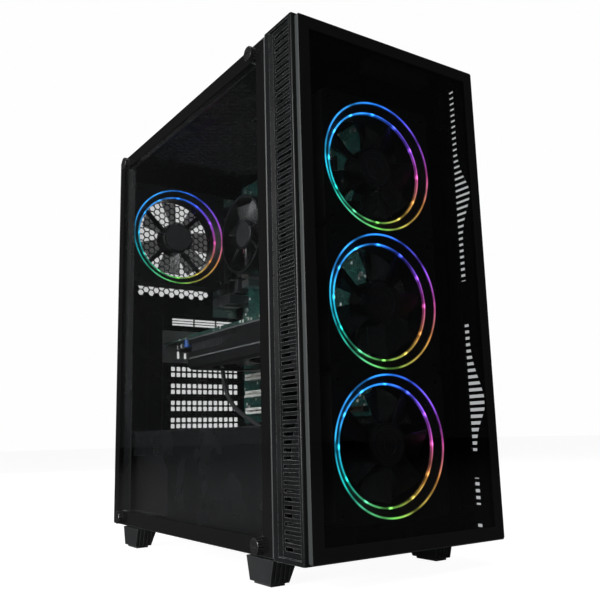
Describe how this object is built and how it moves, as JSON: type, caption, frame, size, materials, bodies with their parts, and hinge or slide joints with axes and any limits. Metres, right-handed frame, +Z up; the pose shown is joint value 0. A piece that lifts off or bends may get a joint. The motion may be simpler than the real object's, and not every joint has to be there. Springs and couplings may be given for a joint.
{
  "type": "desktop computer tower",
  "caption": "Mid-tower desktop computer with a tinted glass side, smoked glass front, slotted bezel sides, lit fans, and a board, graphics card and power supply inside.",
  "frame": {"origin": "middle of the bounding box, on the surface that the feet stand on", "axes": "+Z up; the glass front faces -Y, the side glass faces -X and the rear panel faces +Y"},
  "size_m": [0.2094, 0.393, 0.442],
  "materials": {
    "case_paint": "fine satin powder coat",
    "bezel_plastic": "fine grained moulding",
    "smoked_glass": "dark tempered glass",
    "tinted_glass": "lightly tinted tempered glass",
    "fan_plastic": "dark moulding",
    "blade_plastic": "dark blades",
    "ring_light": "rainbow light ring",
    "screw_steel": "plated steel",
    "black_screw": "black plated steel",
    "foot_rubber": "soft rubber",
    "filter_mesh": "fine nylon screen",
    "board_green": "glass fibre board with solder resist",
    "socket_black": "connector moulding",
    "socket_white": "white connector moulding",
    "sink_aluminium": "extruded fins",
    "bright_steel": "plated sheet",
    "drive_metal": "cast body",
    "supply_paint": "dark coated steel box",
    "cable_black": "sleeved leads",
    "memory_module": "dark heat spreader"
  },
  "bodies": {
    "root": {"board_heatsinks": "sink_aluminium", "board_power_cable": "cable_black", "board_sockets": "socket_black", "case_feet": "bezel_plastic", "cpu_fan_frame": "fan_plastic", "cpu_heatsink": "sink_aluminium", "fan_light_rings": "ring_light", "fan_screws": "screw_steel", "floor_pan": "case_paint", "foot_pads": "foot_rubber", "front_fan_frame_1": "fan_plastic", "front_fan_frame_2": "fan_plastic", "front_fan_frame_3": "fan_plastic", "front_panel": "case_paint", "glass_spacers": "foot_rubber", "gpu_board": "board_green", "gpu_bracket": "bright_steel", "gpu_heatsink": "sink_aluminium", "gpu_power_cable": "cable_black", "gpu_shroud": "fan_plastic", "hard_drive": "drive_metal", "io_shield": "bright_steel", "motherboard": "board_green", "motherboard_tray": "case_paint", "psu_case": "supply_paint", "psu_inlet": "socket_black", "psu_shroud": "case_paint", "ram_modules": "memory_module", "rear_fan_frame": "fan_plastic", "rear_io_ports": "bright_steel", "rear_panel": "case_paint", "slot_covers": "case_paint", "slot_retainer_plate": "case_paint", "small_screws": "screw_steel", "top_panel": "case_paint", "white_pci_slots": "socket_white"},
    "front_fan_1": {"front_fan_rotor_1": "blade_plastic"},
    "front_fan_2": {"front_fan_rotor_2": "blade_plastic"},
    "front_fan_3": {"front_fan_rotor_3": "blade_plastic"},
    "rear_fan": {"rear_fan_rotor": "blade_plastic"},
    "cpu_fan": {"cpu_fan_rotor": "blade_plastic"},
    "gpu_fan_1": {"gpu_fan_rotor_1": "blade_plastic"},
    "gpu_fan_2": {"gpu_fan_rotor_2": "blade_plastic"},
    "psu_fan": {"psu_fan_rotor": "blade_plastic"},
    "front_cover": {"front_bezel": "bezel_plastic", "vent_guards": "bezel_plastic", "front_glass": "smoked_glass", "front_port_block": "socket_black"},
    "power_button": {"power_button": "bezel_plastic"},
    "side_glass": {"side_glass": "tinted_glass"},
    "thumb_screw_1": {"thumb_screw_1": "black_screw"},
    "thumb_screw_2": {"thumb_screw_2": "black_screw"},
    "thumb_screw_3": {"thumb_screw_3": "black_screw"},
    "thumb_screw_4": {"thumb_screw_4": "black_screw"},
    "right_side_panel": {"right_side_panel": "case_paint"},
    "panel_screw_1": {"panel_screw_1": "black_screw"},
    "panel_screw_2": {"panel_screw_2": "black_screw"},
    "top_dust_filter": {"top_dust_filter": "filter_mesh"},
    "psu_dust_filter": {"psu_dust_filter": "filter_mesh"},
    "psu_rocker": {"psu_rocker": "socket_black"}
  },
  "joints": [
    {"name": "front_fan_1_spin", "type": "hinge", "parent": "root", "child": "front_fan_1", "pos_m": [0.00575, -0.1546, 0.3406], "axis": [0, -1, 0], "continuous": true},
    {"name": "front_fan_2_spin", "type": "hinge", "parent": "root", "child": "front_fan_2", "pos_m": [0.00575, -0.1546, 0.2206], "axis": [0, -1, 0], "continuous": true},
    {"name": "front_fan_3_spin", "type": "hinge", "parent": "root", "child": "front_fan_3", "pos_m": [0.00575, -0.1546, 0.1006], "axis": [0, -1, 0], "continuous": true},
    {"name": "rear_fan_spin", "type": "hinge", "parent": "root", "child": "rear_fan", "pos_m": [-0.02975, 0.1722, 0.352], "axis": [0, -1, 0], "continuous": true},
    {"name": "cpu_fan_spin", "type": "hinge", "parent": "root", "child": "cpu_fan", "pos_m": [0.01435, 0.0675, 0.337], "axis": [-1, 0, 0], "continuous": true},
    {"name": "gpu_fan_1_spin", "type": "hinge", "parent": "root", "child": "gpu_fan_1", "pos_m": [0.00755, -0.0141, 0.19188], "axis": [0, 0, -1], "continuous": true},
    {"name": "gpu_fan_2_spin", "type": "hinge", "parent": "root", "child": "gpu_fan_2", "pos_m": [0.00755, 0.0679, 0.19188], "axis": [0, 0, -1], "continuous": true},
    {"name": "psu_fan_spin", "type": "hinge", "parent": "root", "child": "psu_fan", "pos_m": [-0.00695, 0.1147, 0.0348], "axis": [0, 0, 1], "continuous": true},
    {"name": "front_cover_pull", "type": "slide", "parent": "root", "child": "front_cover", "axis": [0, -1, 0], "range_m": [0, 0.06]},
    {"name": "power_button_press", "type": "slide", "parent": "front_cover", "child": "power_button", "axis": [0, 0, -1], "range_m": [0, 0.0015], "stiffness_N_per_m": 300, "springref_m": -0.002},
    {"name": "side_glass_lift_off", "type": "slide", "parent": "root", "child": "side_glass", "axis": [-1, 0, 0], "range_m": [0, 0.15]},
    {"name": "thumb_screw_1_out", "type": "slide", "parent": "side_glass", "child": "thumb_screw_1", "axis": [-1, 0, 0], "range_m": [0, 0.02]},
    {"name": "thumb_screw_2_out", "type": "slide", "parent": "side_glass", "child": "thumb_screw_2", "axis": [-1, 0, 0], "range_m": [0, 0.02]},
    {"name": "thumb_screw_3_out", "type": "slide", "parent": "side_glass", "child": "thumb_screw_3", "axis": [-1, 0, 0], "range_m": [0, 0.02]},
    {"name": "thumb_screw_4_out", "type": "slide", "parent": "side_glass", "child": "thumb_screw_4", "axis": [-1, 0, 0], "range_m": [0, 0.02]},
    {"name": "right_panel_slide", "type": "slide", "parent": "root", "child": "right_side_panel", "axis": [0, 1, 0], "range_m": [0, 0.39]},
    {"name": "panel_screw_1_out", "type": "slide", "parent": "right_side_panel", "child": "panel_screw_1", "axis": [0, 1, 0], "range_m": [0, 0.015]},
    {"name": "panel_screw_2_out", "type": "slide", "parent": "right_side_panel", "child": "panel_screw_2", "axis": [0, 1, 0], "range_m": [0, 0.015]},
    {"name": "top_filter_lift", "type": "slide", "parent": "root", "child": "top_dust_filter", "axis": [0, 0, 1], "range_m": [0, 0.05]},
    {"name": "psu_filter_pull", "type": "slide", "parent": "root", "child": "psu_dust_filter", "axis": [0, 1, 0], "range_m": [0, 0.17]},
    {"name": "psu_rocker_tilt", "type": "hinge", "parent": "root", "child": "psu_rocker", "pos_m": [-0.05945, 0.1767, 0.0678], "axis": [1, 0, 0], "range_deg": [0, 14]}
  ]
}
